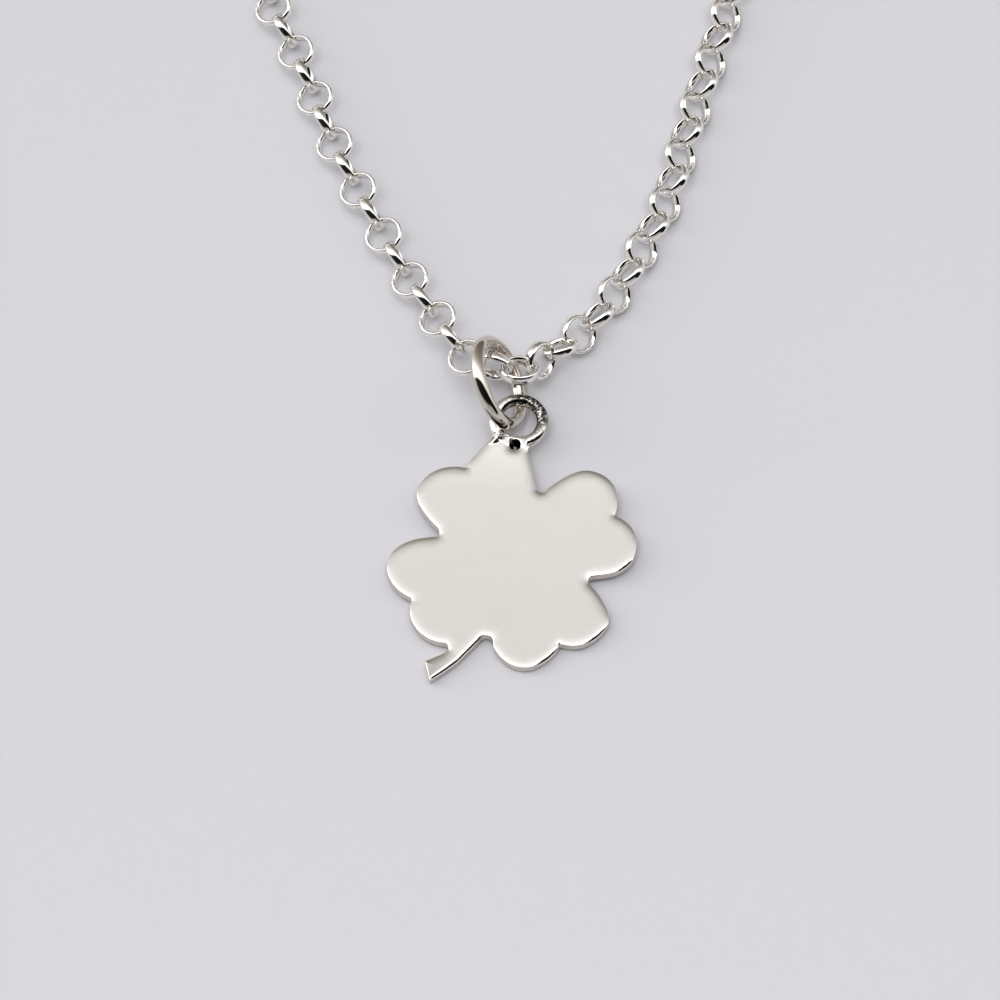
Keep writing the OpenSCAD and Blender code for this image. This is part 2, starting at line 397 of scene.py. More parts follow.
@dataclass
class CloverCharm:
    """The stamped clover plate with its stem, its hanging loop and the small hole in its neck.

    The outline is one closed curve of round lobes, tangent notches, the stem, the neck's sides and the loop.
    The plate and the loop are one height over that outline, which falls off at every edge.
    """

    middle: Pair = (1.03, -5.7)
    lean: float = 3.2
    thickness: float = 0.75
    lobe_reach: float = 6.65
    lobe_radius: float = 2.75
    leaf_spread: float = 34.0
    leaf_turn: float = 24.8
    notch_reach: float = 6.15
    notch_radius: float = 0.4
    notch_lean: float = 64.0
    flank_pull: Pair = (8.42, 1.6)
    flank_angle: float = 5.0
    flank_points: int = 24
    neck_pull: Pair = (7.4, 1.12)
    neck_corner: Pair = (1.03, 8.95)
    neck_left_angle: float = 145.0
    cusp_radius: float = 0.1
    stem_notch_middle: Pair = (-2.13, -7.03)
    stem_notch_radius: float = 0.45
    stem_notch_angles: Pair = (135.0, 7.0)
    beside_stem_angles: Pair = (269.0, 200.0)
    loop_reach: float = 5.14
    loop_angle: float = 75.5
    loop_inner_radius: float = 1.37
    loop_wire: float = 0.92
    loop_outline_angles: Pair = (-68.0, 216.0)
    hole_reach: float = 2.11
    hole_angle: float = 187.0
    hole_radius: float = 0.44
    hole_lower_radius: float = 0.1
    corner_softness: float = 0.07
    softness_points: int = 4
    edge_round: float = 0.035
    roll_width: float = 0.62
    roll_power: float = 2.4
    roll_drop: float = 0.028
    roll_drop_back: float = 0.075
    roll_drop_right: float = 0.045
    worn_angle: float = 312.0
    worn_round: float = 0.27
    worn_facing: float = 0.9
    worn_facing_span: float = 0.09
    worn_power: float = 1.5
    worn_reach: float = 6.7
    worn_reach_span: float = 0.5
    bowl_middle: Pair = (1.5, -3.5)
    bowl_rise: float = 0.0009
    neck_start: float = 5.5
    neck_bend_length: float = 4.0
    neck_rise: float = 0.003
    stem_root: Pair = (-4.4, -8.0)
    stem_root_margin: float = 0.6
    stem_angle: float = 232.0
    stem_bend_length: float = 3.0
    stem_rise: float = 0.02
    tip_at: float = -10.3885
    seam_drop: float = 1.4
    seam_side: float = 0.55
    seam_blend: float = 0.1
    seam_reach: float = 2.3
    seam_step: float = 0.08
    rim_gap: float = 0.02
    least_half_height: float = 0.02
    step: float = 0.07
    inner_step: float = 0.33
    inner_gap: float = 0.5
    ring_slack: float = 0.006
    rim_depth: float = 1e-6
    weld: float = 1e-7

    # Depths of the rings of points along each rim, rows of points across the seam between plate and loop,
    # and shares of the wall's height at which it has points.
    RING_DEPTHS = (0.012, 0.04, 0.09, 0.16, 0.26, 0.38)
    SEAM_ROWS = (-0.04, 0.01, 0.05, 0.09, 0.14)
    WALL_SHARES = (0.12, 0.5, 0.88)

    # Corners round the stem from its upper root by its slanted, slightly hollow end to its lower side.
    STEM_CORNERS = (
        (-4.84, -7.4), (-4.83, -7.66), (-5.2, -8.01), (-5.85, -8.34), (-6.56, -8.68),
        (-6.4, -9.45), (-6.2, -10.36), (-5.66, -9.94), (-4.98, -9.4), (-4.16, -8.7),
    )

    # Places where the cut outline leaves the regular layout: across, up, how far across and up it moves
    # there, and the reach over which the move fades.
    CUT_MOVES = np.array(
        [
            (2.6, -8.3, -0.05, 0.27, 1.6), (5.9, -6.6, -0.1, 0.28, 1.8), (-1.2, -8, 0.2, 0.07, 1.5),
            (9.3, 0.2, -0.2, 0.04, 1.1), (5.7, -2.1, 0.17, 0.13, 1.2), (7, 6.3, 0.24, 0.16, 1.3),
            (4.9, 7, 0, 0.13, 1.5), (2.5, 5.4, 0, 0.08, 0.9), (-2.6, 8.9, -0.08, 0.06, 1),
            (-4.6, 7.6, -0.03, -0.08, 1.2), (-6.6, 4.8, -0.16, -0.04, 1.9), (-5.6, 2.2, -0.12, 0, 1),
            (-7.6, 1.3, 0, 0.07, 0.9), (-9.2, -1, -0.09, 0.02, 1.2),
        ]
    )

    def lobe_middle(self, angle: float) -> Array:
        """Middle of the lobe at an angle."""
        return self.lobe_reach * direction(angle)

    @property
    def loop_middle(self) -> Array:
        """Middle of the hanging loop, above the lobe that carries the neck."""
        top_lobe = self.lobe_middle(self.leaf_turn + 90 - self.leaf_spread / 2)
        return top_lobe + self.loop_reach * direction(self.loop_angle)

    @property
    def loop_radius(self) -> float:
        """Radius of the loop's middle line."""
        return self.loop_inner_radius + self.loop_wire / 2

    @property
    def loop_outer_radius(self) -> float:
        """Radius of the loop's outer side."""
        return self.loop_radius + self.loop_wire / 2

    @property
    def hole_middle(self) -> Array:
        """Middle of the small hole in the neck."""
        return self.loop_middle + self.hole_reach * direction(self.loop_angle + self.hole_angle)

    def arc(self, middle: Array, radius: float, start: float, end: float, step: float = 0.05) -> Array:
        """Points on an arc, from one angle to another, without the last."""
        count = max(3, int(abs(np.radians(end - start)) * radius / step))
        return middle + radius * direction(np.linspace(start, end, count, endpoint=False))

    def lobe_arc(self, lobe: float, start: float, end: float) -> Array:
        """Points on the outline of the lobe at an angle, without the last."""
        return self.arc(self.lobe_middle(lobe), self.lobe_radius, start, end)

    def cusp(self, leaf: float) -> tuple[Array, float]:
        """The small arc between a leaf's two lobes, which touches both from outside.

        Its middle is on the leaf's own line, at the reach where it is a lobe's radius and its own from each
        lobe's middle.

        Args:
            leaf: angle of the leaf.

        Returns:
            The arc's points, and the angle between the leaf's line and that from a lobe to the arc's middle.
        """
        half_leaf = math.radians(self.leaf_spread / 2)
        aside = self.lobe_reach * math.sin(half_leaf)
        beyond = math.sqrt((self.lobe_radius + self.cusp_radius) ** 2 - aside**2)
        middle = (self.lobe_reach * math.cos(half_leaf) + beyond) * direction(leaf)
        lean = math.degrees(math.atan2(aside, beyond))
        return self.arc(middle, self.cusp_radius, leaf + 180 + lean, leaf + 180 - lean), lean

    def flank(self, notch: float, side: int, up_neck: bool = False) -> Array:
        """The nearly straight side of a notch, as a quadratic curve from its round bottom out to the lobe.

        Args:
            notch: angle of the notch.
            side: 1 for the lobe counter clockwise of the notch and -1 for the other.
            up_neck: whether it goes on up the neck to the loop, past the lobe.

        Returns:
            Points from the bottom outwards.
        """
        out, across = direction(notch), side * direction(notch + 90)
        bottom = direction(180 - self.notch_lean)
        reach = self.notch_reach + self.notch_radius * bottom[0]
        first = reach * out + self.notch_radius * bottom[1] * across
        lobe = self.lobe_middle(notch + side * (45 - self.leaf_spread / 2))
        last = lobe + self.lobe_radius * direction(notch - side * self.flank_angle)
        pull = self.flank_pull
        if up_neck:
            last, pull = self.neck_corner, self.neck_pull
        t = np.linspace(0, 1, self.flank_points)[:, None]
        return (1 - t) ** 2 * first + 2 * t * (1 - t) * (pull[0] * out + pull[1] * across) + t**2 * last

    def outline(self) -> Array:
        """The whole outer outline, counter clockwise: lobes, cusps and notches, the stem and the neck.

        The neck and the loop's outer circle stand between the first and the second leaf, and the stem
        between the third and the fourth.

        Returns:
            Points at an even spacing, with every corner slightly rounded.
        """
        half_leaf = self.leaf_spread / 2
        turned = 180 - self.notch_lean
        stem_lobe_end, stem_lobe_start = self.beside_stem_angles
        runs = []
        for quarter in range(4):
            leaf = self.leaf_turn + 90 * quarter
            first, second = leaf - half_leaf, leaf + half_leaf
            before, after = leaf - 45, leaf + 45
            cusp, cusp_lean = self.cusp(leaf)
            lobe_start = before - self.flank_angle
            if quarter == 3:
                lobe_start = stem_lobe_start
            elif quarter == 1:
                lobe_start = self.neck_left_angle
                runs.append(self.flank(before, 1, up_neck=True))
                runs.append(self.arc(self.loop_middle, self.loop_outer_radius, *self.loop_outline_angles))
            else:
                runs.append(self.flank(before, 1))
            runs.append(self.lobe_arc(first, lobe_start, leaf + cusp_lean))
            runs.append(cusp)
            if quarter == 2:
                runs.append(self.lobe_arc(second, leaf - cusp_lean, stem_lobe_end))
                runs.append(self.STEM_CORNERS)
                notch = self.stem_notch_middle
                runs.append(self.arc(notch, self.stem_notch_radius, *self.stem_notch_angles))
            else:
                runs.append(self.lobe_arc(second, leaf - cusp_lean, after + self.flank_angle))
                runs.append(self.flank(after, -1)[::-1])
                notch = self.notch_reach * direction(after)
                runs.append(self.arc(notch, self.notch_radius, after - turned, after - 360 + turned))
        return self.evened(self.moved(np.concatenate(runs)))

    def moved(self, points: Array) -> Array:
        """Moves the outline where the cut leaves the regular layout, each move fading as a bell curve."""
        away = np.linalg.norm(points[:, None] - self.CUT_MOVES[:, :2], axis=2)
        return points + np.exp(-0.5 * (away / self.CUT_MOVES[:, 4]) ** 2) @ self.CUT_MOVES[:, 2:4]

    def evened(self, points: Array) -> Array:
        """Spaces a closed curve's points evenly and averages each with its neighbours under a bell curve.

        Args:
            points: the curve, with its first point only once.

        Returns:
            The new points.
        """
        closed = np.concatenate([points, points[:1]])
        run = np.concatenate([[0], np.cumsum(np.linalg.norm(np.diff(closed, axis=0), axis=1))])
        count = int(run[-1] / self.step)
        places = np.linspace(0, run[-1], count, endpoint=False)
        even = np.stack([np.interp(places, run, closed[:, axis]) for axis in (0, 1)], axis=-1)
        reach = np.arange(-self.softness_points, self.softness_points + 1)
        bell = np.exp(-0.5 * (reach * self.step / self.corner_softness) ** 2)
        bell /= bell.sum()
        shifted = np.stack([np.roll(even, shift, axis=0) for shift in reach])
        return np.tensordot(bell, shifted, axes=1)

    def rims(self) -> list[Array]:
        """The closed rims, each with the metal on its left.

        Returns:
            The outer outline, the loop's inner rim and the small hole's.
        """
        return [
            self.outline(),
            self.arc(self.loop_middle, self.loop_inner_radius, 360, 0, self.step),
            self.arc(self.hole_middle, self.hole_radius, 360, 0, self.step / 2),
        ]

    def inward(self, rim: Array) -> Array:
        """Unit vectors from a rim's points into the metal."""
        along = np.roll(rim, -1, axis=0) - np.roll(rim, 1, axis=0)
        return along[:, ::-1] * (-1, 1) / np.linalg.norm(along, axis=1, keepdims=True)

    def from_rim(self, points: Array, rims: list[Array]) -> Array:
        """The way to each point from the nearest place on any rim.

        Args:
            points: places in the plate's own plan.
            rims: the closed rims.

        Returns:
            One vector for each point.
        """
        starts = np.concatenate(rims)
        spans = np.concatenate([np.roll(rim, -1, axis=0) - rim for rim in rims])
        length = (spans**2).sum(axis=1)
        ways = []
        for block in np.array_split(points, max(1, len(points) // BLOCK)):
            away = block[:, None] - starts
            share = np.clip((away * spans).sum(axis=2) / length, 0, 1)
            gap = away - share[..., None] * spans
            nearest = (gap**2).sum(axis=2).argmin(axis=1)
            ways.append(gap[np.arange(len(block)), nearest])
        return np.concatenate(ways)

    def depth(self, points: Array, rims: list[Array]) -> Array:
        """Distance of each point from the nearest rim."""
        return np.linalg.norm(self.from_rim(points, rims), axis=1)

    def inside(self, points: Array, rims: list[Array]) -> Array:
        """Whether points are in the metal, where a line to the right meets the rims an odd number of times.

        Args:
            points: places in the plate's own plan.
            rims: the closed rims.

        Returns:
            True or false for each point.
        """
        starts = np.concatenate(rims)
        ends = np.concatenate([np.roll(rim, -1, axis=0) for rim in rims])
        run, rise = (ends - starts).T
        rise = np.where(rise == 0, TINY, rise)
        crossed = []
        for block in np.array_split(points, max(1, len(points) // BLOCK)):
            x, y = block[:, 0:1], block[:, 1:2]
            spans = (starts[:, 1] > y) != (ends[:, 1] > y)
            meet = starts[:, 0] + (y - starts[:, 1]) / rise * run
            crossed.append((spans & (meet > x)).sum(axis=1))
        return np.concatenate(crossed) % 2 == 1

    def half_height(self, points: Array, way_in: Array) -> Array:
        """Half the metal's height over the plan.

        In the plate it is half the thickness, less a small round at the edge and a slow roll off towards it.
        The round is larger on the lobes' edges that face the worn side, and the roll is deeper at the back
        and at the right. In the loop it is the height of a circle round the wire's middle line. The two
        change over where the neck spreads into the loop.

        Args:
            points: places in the plate's own plan.
            way_in: the way to each from the nearest rim.

        Returns:
            The half height of each.
        """
        depth = np.linalg.norm(way_in, axis=1)
        outwards = -way_in / np.maximum(depth, TINY)[:, None]
        facing = outwards @ direction(self.worn_angle)
        worn = np.clip((facing - self.worn_facing) / self.worn_facing_span, 0, 1) ** self.worn_power
        reach = np.linalg.norm(points, axis=1)
        worn = worn * np.clip((reach - self.worn_reach) / self.worn_reach_span, 0, 1)
        edge = self.edge_round + worn * (self.worn_round - self.edge_round)
        plate = self.thickness / 2 - edge * (1 - np.sqrt(1 - np.clip(1 - depth / edge, 0, 1) ** 2))
        to_right, to_back = np.clip(outwards, 0, 1).T
        drop = self.roll_drop + self.roll_drop_back * to_back + self.roll_drop_right * to_right
        plate = plate - drop * np.clip(1 - depth / self.roll_width, 0, 1) ** self.roll_power
        away = points - self.loop_middle
        reach = np.linalg.norm(away, axis=1)
        off_middle = np.clip(np.abs(reach - self.loop_radius) / (self.loop_wire / 2), 0, 1)
        wire = self.loop_wire / 2 * np.sqrt(1 - off_middle**2)
        past_seam = np.maximum(away[:, 1] + self.seam_drop, away[:, 0] - self.seam_side)
        share = np.clip(past_seam / self.seam_blend, 0, 1)
        share = share * share * (3 - 2 * share)
        share = np.where(reach > self.loop_outer_radius + self.rim_gap, 0, share)
        return np.maximum(plate * (1 - share) + wire * share, self.least_half_height)

    def sheet_points(self, rims: list[Array]) -> Array:
        """Points of a sheet over the outline: the rims, rings along them, a grid, and rows across the seam.

        Args:
            rims: the closed rims.

        Returns:
            The points in the plate's own plan, with those of the rims first.
        """
        rim_points = np.concatenate(rims)
        inwards = np.concatenate([self.inward(rim) for rim in rims])
        points = [rim_points]
        for ring_depth in self.RING_DEPTHS:
            ring = rim_points + ring_depth * inwards
            points.append(ring[self.depth(ring, rims) > ring_depth - self.ring_slack])
        low, high = rim_points.min(axis=0), rim_points.max(axis=0)
        across, up = np.meshgrid(*(np.arange(low[axis], high[axis], self.inner_step) for axis in (0, 1)))
        run, off = np.meshgrid(np.arange(-self.seam_reach, self.seam_reach, self.seam_step), self.SEAM_ROWS)
        field, level, upright = (
            np.stack([x.ravel(), y.ravel()], axis=-1)
            for x, y in ((across, up), (run, off - self.seam_drop), (off + self.seam_side, run))
        )
        upright = upright[upright[:, 1] < -self.seam_drop]
        seam = np.concatenate([level, upright]) + self.loop_middle
        for block, gap in ((field, self.inner_gap), (seam, self.rim_gap)):
            block = block[self.inside(block, rims)]
            points.append(block[self.depth(block, rims) > gap])
        return np.concatenate(points)

    def bent(self, flat: Array) -> Array:
        """How far the metal's middle bends up.

        It rises with the square of the distance from the bowl's middle, and a little more with the squares
        of the way up the neck and of the way along the stem.

        Args:
            flat: places in the plate's own plan.

        Returns:
            The rise at each.
        """
        bowl = self.bowl_rise * ((flat - self.bowl_middle) ** 2).sum(axis=1)
        bowl = bowl + self.neck_rise * np.clip(flat[:, 1] - self.neck_start, 0, self.neck_bend_length) ** 2
        stem_run = (flat - self.stem_root) @ direction(self.stem_angle)
        in_stem = flat[:, 0] < self.stem_root[0] + self.stem_root_margin
        stem_run = np.where(in_stem, np.clip(stem_run, 0, self.stem_bend_length), 0)
        return bowl + self.stem_rise * stem_run**2

    def build(self) -> bpy.types.Object:
        """Builds the closed surface: an upper and a lower sheet over the outline, and a wall round each rim.

        Returns:
            The charm's object.
        """
        rims = self.rims()
        points = self.sheet_points(rims)
        ends = np.cumsum([len(each) for each in rims])
        rim = ends[-1]
        numbers = np.split(np.arange(rim), ends[:-1])
        edges = np.concatenate([np.stack([each, np.roll(each, -1)], axis=-1) for each in numbers])
        meshed = delaunay_2d_cdt(points.tolist(), edges.tolist(), [], 0, self.weld)
        flat, triangles = np.array(meshed[0]), np.array(meshed[2])
        triangles = triangles[self.inside(flat[triangles].mean(axis=1), rims)]
        count = len(flat)
        way_in = self.from_rim(flat, rims)
        way_in[:rim] = np.concatenate([self.inward(each) for each in rims]) * self.rim_depth
        half = self.half_height(flat, way_in)
        middle = self.thickness / 2 + self.bent(flat)
        upper = np.column_stack([flat, middle + half])
        lower = np.column_stack([self.narrowed(flat), middle - half])
        down = np.array(self.WALL_SHARES)[:, None, None]
        rows = upper[None, :rim] * (1 - down) + lower[None, :rim] * down
        on_rim = np.arange(rim)
        levels = [on_rim, *(2 * count + rim * k + on_rim for k in range(len(rows))), count + on_rim]
        walls = [
            np.stack([over[edges[:, 0]], under[edges[:, 0]], under[edges[:, 1]], over[edges[:, 1]]], axis=-1)
            for over, under in zip(levels, levels[1:])
        ]
        faces = [triangles, triangles[:, ::-1] + count, *walls]
        return make_object(Piece.CLOVER, self.placed(np.concatenate([upper, lower, *rows])), faces)

    def narrowed(self, points: Array) -> Array:
        """The plan of the lower sheet, with the drilled hole's rim drawn in to its lower radius.

        The shift towards the hole's middle is whole at the hole's radius and fades to none at twice that.

        Args:
            points: places in the plate's own plan.

        Returns:
            The places in the lower sheet.
        """
        away = points - self.hole_middle
        reach = np.linalg.norm(away, axis=1)
        narrow = (self.hole_radius - self.hole_lower_radius) * np.clip(2 - reach / self.hole_radius, 0, 1)
        return points - away * (narrow / reach)[:, None]

    def placed(self, points: Array) -> Array:
        """Leans the plate about its middle and sets it down so that the stem's tip meets the surface."""
        leaned = points @ turn_matrix(0, self.lean).T
        return leaned + np.array([*self.middle, -self.tip_at * math.sin(math.radians(self.lean))])

    def marks(self) -> tuple[Triple, ...]:
        """Places of the hole's and the loop's middles in the model, in metres."""
        middles = np.array([[*self.hole_middle, self.thickness], [*self.loop_middle, self.thickness]])
        return tuple(map(tuple, ((self.placed(middles) + PLAN_SHIFT) * MM).tolist()))


@dataclass
class JumpRing:
    """The large jump ring of round wire, which leans over the loop and holds the chain."""

    radius: float = 3.238
    wire: float = 1.1
    lean: float = 60.2
    turn: float = 1.4
    offset: Pair = (-1.485, 2.442)
    rows: int = 144
    columns: int = 28

    def build(self, hung_on: CloverCharm) -> bpy.types.Object:
        """Builds the ring beside the middle of the loop that it passes through.

        Args:
            hung_on: the charm, whose loop sets the ring's place.

        Returns:
            The ring's object.
        """
        points, faces = ring_of_wire(self.radius, self.wire, self.rows, self.columns)
        points = points @ (turn_matrix(2, self.turn) @ turn_matrix(1, self.lean)).T
        place = hung_on.placed(np.array([*hung_on.loop_middle, 0.0]))[:2] + self.offset
        height = self.radius * math.sin(math.radians(self.lean)) + self.wire / 2
        return make_object(Piece.JUMP_RING, points + np.array([*place, height]), [faces])


@dataclass
class Necklace:
    """The chain of round links and the plain clasp ring at its far end.

    The links lie along one closed route: a smooth curve through chosen points where the picture shows the
    chain, and a straight run and a round bend on each side where it doesn't.
    """

    length: float = 457.0
    link_radius: float = 1.55
    link_wall: float = 0.29
    link_width: float = 0.9
    play: float = 0.14
    slack_length: float = 1.05
    slack_links: float = 5.0
    clasp_radius: float = 2.6
    clasp_wire: float = 1.2
    clasp_shift: float = -0.25
    clasp_rest_angle: float = 60.0
    clasp_rows: int = 96
    clasp_columns: int = 24
    strand_heading: float = 16.4
    curve_steps: int = 12
    bend_steps: int = 90
    link_rows: int = 16
    band_width: float = 0.78
    band_edge: float = 0.19
    band_inner_width: float = 0.7
    band_crest_width: float = 0.26
    band_crest_drop: float = 0.02

    # Chosen points of the seen stretch: across, away, lift over the resting height, roll of the odd links.
    SEEN_POINTS = np.array(
        [
            (-18.4, 45.8, 0, -20), (-16.2, 40.6, 0, -20), (-13, 31.7, 0, -20), (-9, 23, 0, -20),
            (-7, 19, 0, -20), (-4.55, 14.5, 0.65, -19), (-3.4, 12.55, 0.9, -23), (-2.1, 10.6, 1.2, -13),
            (0.3, 9.95, 1.5, 7), (1.15, 9.5, 1.7, 21), (3.4, 11.1, 1, 28), (4.9, 12.8, 0.25, 42),
            (6.2, 14.1, 0, 48), (8.9, 17.8, 0, 44), (11, 21.9, 0, 44), (12.9, 26.3, 0, 44),
            (14.2, 31, 0, 44), (16.8, 40.3, 0, 44), (18.4, 45.8, 0, 44),
        ]
    )
    # Roll of the odd links where the left and the right bend meet the clasp.
    ROLL_AT_CLASP = (0, 90)

    def __post_init__(self) -> None:
        """Works out the number of links, the route and the running length along it."""
        inner = self.link_radius - self.link_wall
        self.pitch = 2 * inner - self.play
        self.hang = inner - self.clasp_wire / 2 - self.play
        span = 2 * (self.clasp_radius + self.hang * math.cos(math.radians(self.clasp_rest_angle)))
        self.count = 2 * round((self.length - span + self.pitch) / (2 * self.pitch))
        self.middle_link = (self.count - 1) / 2
        whole = (self.count - 1) * self.pitch + span - 2 * float(self.slack(np.array(self.count - 1)))
        self.route = self.with_bends(self.seen_run(), whole)
        steps = np.linalg.norm(np.diff(self.route[:, :3], axis=0), axis=1)
        self.runs = np.concatenate([[0], np.cumsum(steps)])

    def slack(self, link: Array) -> Array:
        """Length lost between the middle of the chain and a link, where the lowest links lie slack."""
        share = (link - self.middle_link) / self.slack_links
        return self.slack_length * share / np.sqrt(1 + share**2)

    def seen_run(self) -> Array:
        """A cubic curve through the chosen points.

        The slope at each point is the mean of the slopes on its two sides, each weighted by the other side's
        gap, and the two ends head straight into the hidden stretch.

        Returns:
            Points along the curve with across, away, lift and roll.
        """
        place, roll = self.SEEN_POINTS[:, :3], self.SEEN_POINTS[:, 3]
        gaps = np.linalg.norm(np.diff(place, axis=0), axis=1)[:, None]
        sides = np.diff(place, axis=0) / gaps
        slopes = np.empty_like(place)
        slopes[1:-1] = (sides[1:] * gaps[:-1] + sides[:-1] * gaps[1:]) / (gaps[1:] + gaps[:-1])
        lean = math.radians(self.strand_heading)
        slopes[0] = (math.sin(lean), -math.cos(lean), 0)
        slopes[-1] = (math.sin(lean), math.cos(lean), 0)
        u = (np.arange(self.curve_steps) / self.curve_steps)[None, :, None]
        start, end = place[:-1, None], place[1:, None]
        curve = (
            (2 * u**3 - 3 * u**2 + 1) * start
            + (u**3 - 2 * u**2 + u) * gaps[:, None] * slopes[:-1, None]
            + (3 * u**2 - 2 * u**3) * end
            + (u**3 - u**2) * gaps[:, None] * slopes[1:, None]
        )
        rolls = roll[:-1, None, None] * (1 - u) + roll[1:, None, None] * u
        run = np.concatenate([curve, rolls], axis=2).reshape(-1, 4)
        return np.concatenate([run, self.SEEN_POINTS[-1:]])

    def with_bends(self, seen: Array, whole: float) -> Array:
        """Adds the hidden stretch: on each side a straight run, and a round bend to the far end's middle.

        Args:
            seen: the seen run.
            whole: length of the closed route.

        Returns:
            The route's points from the far end, round by the left, and back to it by the right.
        """
        lean = math.radians(self.strand_heading)
        end = seen[-1]
        hidden = (whole - np.linalg.norm(np.diff(seen[:, :3], axis=0), axis=1).sum()) / 2
        turned = math.radians(90 + self.strand_heading)
        radius = (hidden + end[0] / math.sin(lean)) / (1 / math.tan(lean) + turned)
        straight = (radius * math.cos(lean) - end[0]) / math.sin(lean)
        bend_middle = end[1] + straight * math.cos(lean) + radius * math.sin(lean)
        share = np.arange(self.bend_steps + 1) / self.bend_steps
        turn = np.radians(90) + turned * share
        away = bend_middle + radius * np.sin(turn)
        flat = np.zeros_like(away)
        bends = []
        for sign, clasp_roll, seen_roll in zip((1, -1), self.ROLL_AT_CLASP, (seen[0, 3], end[3])):
            roll = clasp_roll * (1 - share / 2) + seen_roll * share / 2
            bends.append(np.stack([sign * radius * np.cos(turn), away, flat, roll], axis=-1))
        return np.concatenate([bends[0], seen, bends[1][::-1]])

    def along(self, run: Array, column: int) -> Array:
        """One of the route's columns at running lengths, which go round the loop."""
        return np.interp(np.mod(run, self.runs[-1]), self.runs, self.route[:, column])

    def half_rise(self, roll: Array) -> Array:
        """Half the height of a link that is rolled about the chain."""
        turn = np.radians(roll)
        return self.link_radius * np.abs(np.sin(turn)) + self.link_width / 2 * np.abs(np.cos(turn))

    def place(self, run: Array) -> Array:
        """Places on the chain's middle line, high enough for both families of links to clear the surface."""
        rest = self.half_rise(self.along(run, 3) + np.array([[0], [90]])).max(axis=0)
        return np.stack([self.along(run, 0), self.along(run, 1), rest + self.along(run, 2)], axis=-1)

    def link(self) -> tuple[Array, Array]:
        """One round link of half round band, as a profile carried round.

        The profile is flat inside, widest a little above that, and narrow at its crest. Smooth shading makes
        its outer face round from edge to edge.

        Returns:
            The points and the faces.
        """
        inner = self.link_radius - self.link_wall
        edge, crest = inner + self.band_edge, self.link_radius - self.band_crest_drop
        reach = np.array([inner, edge, crest, crest, edge, inner])
        half = np.array([self.band_inner_width, self.band_width, self.band_crest_width]) / 2
        return carried_round(reach, np.concatenate([-half, half[::-1]]), self.link_rows)

    def build_half(self, piece: Piece, numbers: Array) -> bpy.types.Object:
        """Builds half of the links as one mesh.

        Args:
            piece: which half.
            numbers: its links, counted from the far end.

        Returns:
            The half's object.
        """
        lowest = self.clasp_shift + self.runs[-1] / 2
        run = lowest + (numbers - self.middle_link) * self.pitch - self.slack(numbers)
        middle = self.place(run)
        step = self.place(run + self.pitch / 2) - self.place(run - self.pitch / 2)
        heading = np.degrees(np.arctan2(step[:, 1], step[:, 0]))
        climb = np.degrees(np.arctan2(step[:, 2], np.hypot(step[:, 0], step[:, 1])))
        roll = self.along(run, 3) + np.where(numbers % 2 == 0, 90, 0)
        turns = turn_matrix(2, heading) @ turn_matrix(1, -climb) @ turn_matrix(0, -roll)
        points, faces = self.link()
        placed = np.einsum("nij,kj->nki", turns, points) + middle[:, None, :]
        shifts = np.arange(len(numbers)) * len(points)
        all_faces = (faces[None] + shifts[:, None, None]).reshape(-1, 4)
        return make_object(piece, placed.reshape(-1, 3), [all_faces])

    def build_clasp(self) -> bpy.types.Object:
        """Builds the plain ring that joins the two end links.

        Returns:
            The clasp's object.
        """
        points, faces = ring_of_wire(self.clasp_radius, self.clasp_wire, self.clasp_rows, self.clasp_columns)
        place = self.place(np.array([self.clasp_shift]))[0]
        height = self.link_radius - self.hang * math.sin(math.radians(self.clasp_rest_angle))
        return make_object(Piece.CLASP, points + np.array([*place[:2], height]), [faces])


@dataclass(frozen=True)
class SkyBand:
    """One step of the studio's sky, from the black opening in front to the wall behind the necklace.

    The share is the height of a direction over the plane of the tent's edge, below 0 in the opening and 1
    straight away from it.
    """

    share: float
    radiance: float
    colour: str = "FFFFFF"


